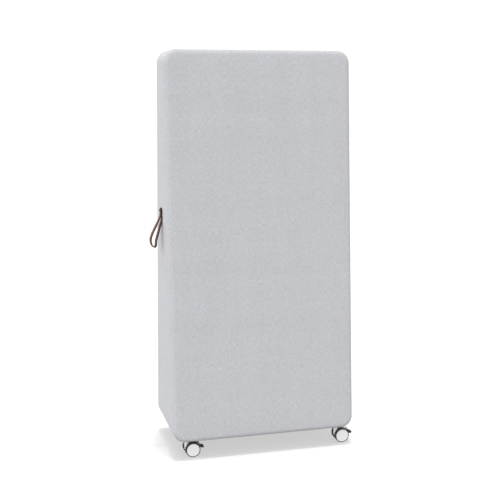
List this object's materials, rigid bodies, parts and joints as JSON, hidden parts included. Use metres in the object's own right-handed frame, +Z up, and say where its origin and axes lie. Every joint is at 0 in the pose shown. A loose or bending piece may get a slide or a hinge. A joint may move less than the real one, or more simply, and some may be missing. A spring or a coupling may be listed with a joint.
{
  "type": "rolling partition",
  "caption": "Tall upholstered screen with rounded edges and a wedge-shaped side, on swivel castors with brake pedals, with a leather pull loop on one side.",
  "frame": {"origin": "on the floor, midway between the four castor swivel axes, under the middle of the body", "axes": "+Z up, +X towards the screen's right side seen from the front, +Y towards its back; the pull loop is on the -X side"},
  "size_m": [0.9112, 0.4386, 1.8],
  "materials": {
    "cover_fabric": "matte",
    "foam": "matte",
    "board": "matte",
    "plywood": "matte",
    "absorber": "matte",
    "steel": "satin",
    "dark_metal": "satin",
    "strap_leather": "satin",
    "sleeve": "gloss",
    "housing": "satin",
    "pedal": "satin",
    "wheel_disc": "satin",
    "tyre": "matte"
  },
  "bodies": {
    "body": {"front_cover": "cover_fabric", "back_cover": "cover_fabric", "border_cover": "cover_fabric", "front_pad": "foam", "back_pad": "foam", "border_pad": "foam", "front_board": "board", "back_board": "board", "left_panel": "plywood", "right_panel": "plywood", "top_rail": "plywood", "middle_shelf": "plywood", "base_board": "plywood", "lower_absorbers": "absorber", "upper_absorbers": "absorber", "frame_screws": "steel", "castor_inserts": "steel", "handle_insert": "steel", "handle_washer": "dark_metal", "handle_screw": "dark_metal", "front_left_stem": "steel", "front_right_stem": "steel", "back_left_stem": "steel", "back_right_stem": "steel"},
    "handle": {"handle_strap": "strap_leather"},
    "front_left_swivel": {"front_left_sleeve": "sleeve", "front_left_housing": "housing", "front_left_axle": "steel"},
    "front_left_near_wheel_body": {"front_left_near_wheel": "wheel_disc", "front_left_near_tyre": "tyre"},
    "front_left_far_wheel_body": {"front_left_far_wheel": "wheel_disc", "front_left_far_tyre": "tyre"},
    "front_left_brake": {"front_left_pedal": "pedal"},
    "front_right_swivel": {"front_right_sleeve": "sleeve", "front_right_housing": "housing", "front_right_axle": "steel"},
    "front_right_near_wheel_body": {"front_right_near_wheel": "wheel_disc", "front_right_near_tyre": "tyre"},
    "front_right_far_wheel_body": {"front_right_far_wheel": "wheel_disc", "front_right_far_tyre": "tyre"},
    "front_right_brake": {"front_right_pedal": "pedal"},
    "back_left_swivel": {"back_left_sleeve": "sleeve", "back_left_housing": "housing", "back_left_axle": "steel"},
    "back_left_near_wheel_body": {"back_left_near_wheel": "wheel_disc", "back_left_near_tyre": "tyre"},
    "back_left_far_wheel_body": {"back_left_far_wheel": "wheel_disc", "back_left_far_tyre": "tyre"},
    "back_left_brake": {"back_left_pedal": "pedal"},
    "back_right_swivel": {"back_right_sleeve": "sleeve", "back_right_housing": "housing", "back_right_axle": "steel"},
    "back_right_near_wheel_body": {"back_right_near_wheel": "wheel_disc", "back_right_near_tyre": "tyre"},
    "back_right_far_wheel_body": {"back_right_far_wheel": "wheel_disc", "back_right_far_tyre": "tyre"},
    "back_right_brake": {"back_right_pedal": "pedal"}
  },
  "joints": [
    {"name": "handle_swing", "type": "hinge", "parent": "body", "child": "handle", "pos_m": [-0.422, 0, 1.098], "axis": [1, 0, 0], "range_deg": [-60, 60]},
    {"name": "front_left_swivel_turn", "type": "hinge", "parent": "body", "child": "front_left_swivel", "pos_m": [-0.355, -0.164, 0.06], "axis": [0, 0, 1], "continuous": true},
    {"name": "front_left_near_wheel_roll", "type": "hinge", "parent": "front_left_swivel", "child": "front_left_near_wheel_body", "pos_m": [-0.329, -0.164, 0.033], "axis": [0, 1, 0], "continuous": true},
    {"name": "front_left_far_wheel_roll", "type": "hinge", "parent": "front_left_swivel", "child": "front_left_far_wheel_body", "pos_m": [-0.329, -0.164, 0.033], "axis": [0, 1, 0], "continuous": true},
    {"name": "front_left_brake_press", "type": "hinge", "parent": "front_left_swivel", "child": "front_left_brake", "pos_m": [-0.315, -0.164, 0.053], "axis": [0, 1, 0], "range_deg": [0, 14]},
    {"name": "front_right_swivel_turn", "type": "hinge", "parent": "body", "child": "front_right_swivel", "pos_m": [0.355, -0.164, 0.06], "axis": [0, 0, 1], "continuous": true},
    {"name": "front_right_near_wheel_roll", "type": "hinge", "parent": "front_right_swivel", "child": "front_right_near_wheel_body", "pos_m": [0.381, -0.164, 0.033], "axis": [0, 1, 0], "continuous": true},
    {"name": "front_right_far_wheel_roll", "type": "hinge", "parent": "front_right_swivel", "child": "front_right_far_wheel_body", "pos_m": [0.381, -0.164, 0.033], "axis": [0, 1, 0], "continuous": true},
    {"name": "front_right_brake_press", "type": "hinge", "parent": "front_right_swivel", "child": "front_right_brake", "pos_m": [0.395, -0.164, 0.053], "axis": [0, 1, 0], "range_deg": [0, 14]},
    {"name": "back_left_swivel_turn", "type": "hinge", "parent": "body", "child": "back_left_swivel", "pos_m": [-0.355, 0.164, 0.06], "axis": [0, 0, 1], "continuous": true},
    {"name": "back_left_near_wheel_roll", "type": "hinge", "parent": "back_left_swivel", "child": "back_left_near_wheel_body", "pos_m": [-0.329, 0.164, 0.033], "axis": [0, 1, 0], "continuous": true},
    {"name": "back_left_far_wheel_roll", "type": "hinge", "parent": "back_left_swivel", "child": "back_left_far_wheel_body", "pos_m": [-0.329, 0.164, 0.033], "axis": [0, 1, 0], "continuous": true},
    {"name": "back_left_brake_press", "type": "hinge", "parent": "back_left_swivel", "child": "back_left_brake", "pos_m": [-0.315, 0.164, 0.053], "axis": [0, 1, 0], "range_deg": [0, 14]},
    {"name": "back_right_swivel_turn", "type": "hinge", "parent": "body", "child": "back_right_swivel", "pos_m": [0.355, 0.164, 0.06], "axis": [0, 0, 1], "continuous": true},
    {"name": "back_right_near_wheel_roll", "type": "hinge", "parent": "back_right_swivel", "child": "back_right_near_wheel_body", "pos_m": [0.381, 0.164, 0.033], "axis": [0, 1, 0], "continuous": true},
    {"name": "back_right_far_wheel_roll", "type": "hinge", "parent": "back_right_swivel", "child": "back_right_far_wheel_body", "pos_m": [0.381, 0.164, 0.033], "axis": [0, 1, 0], "continuous": true},
    {"name": "back_right_brake_press", "type": "hinge", "parent": "back_right_swivel", "child": "back_right_brake", "pos_m": [0.395, 0.164, 0.053], "axis": [0, 1, 0], "range_deg": [0, 14]}
  ]
}
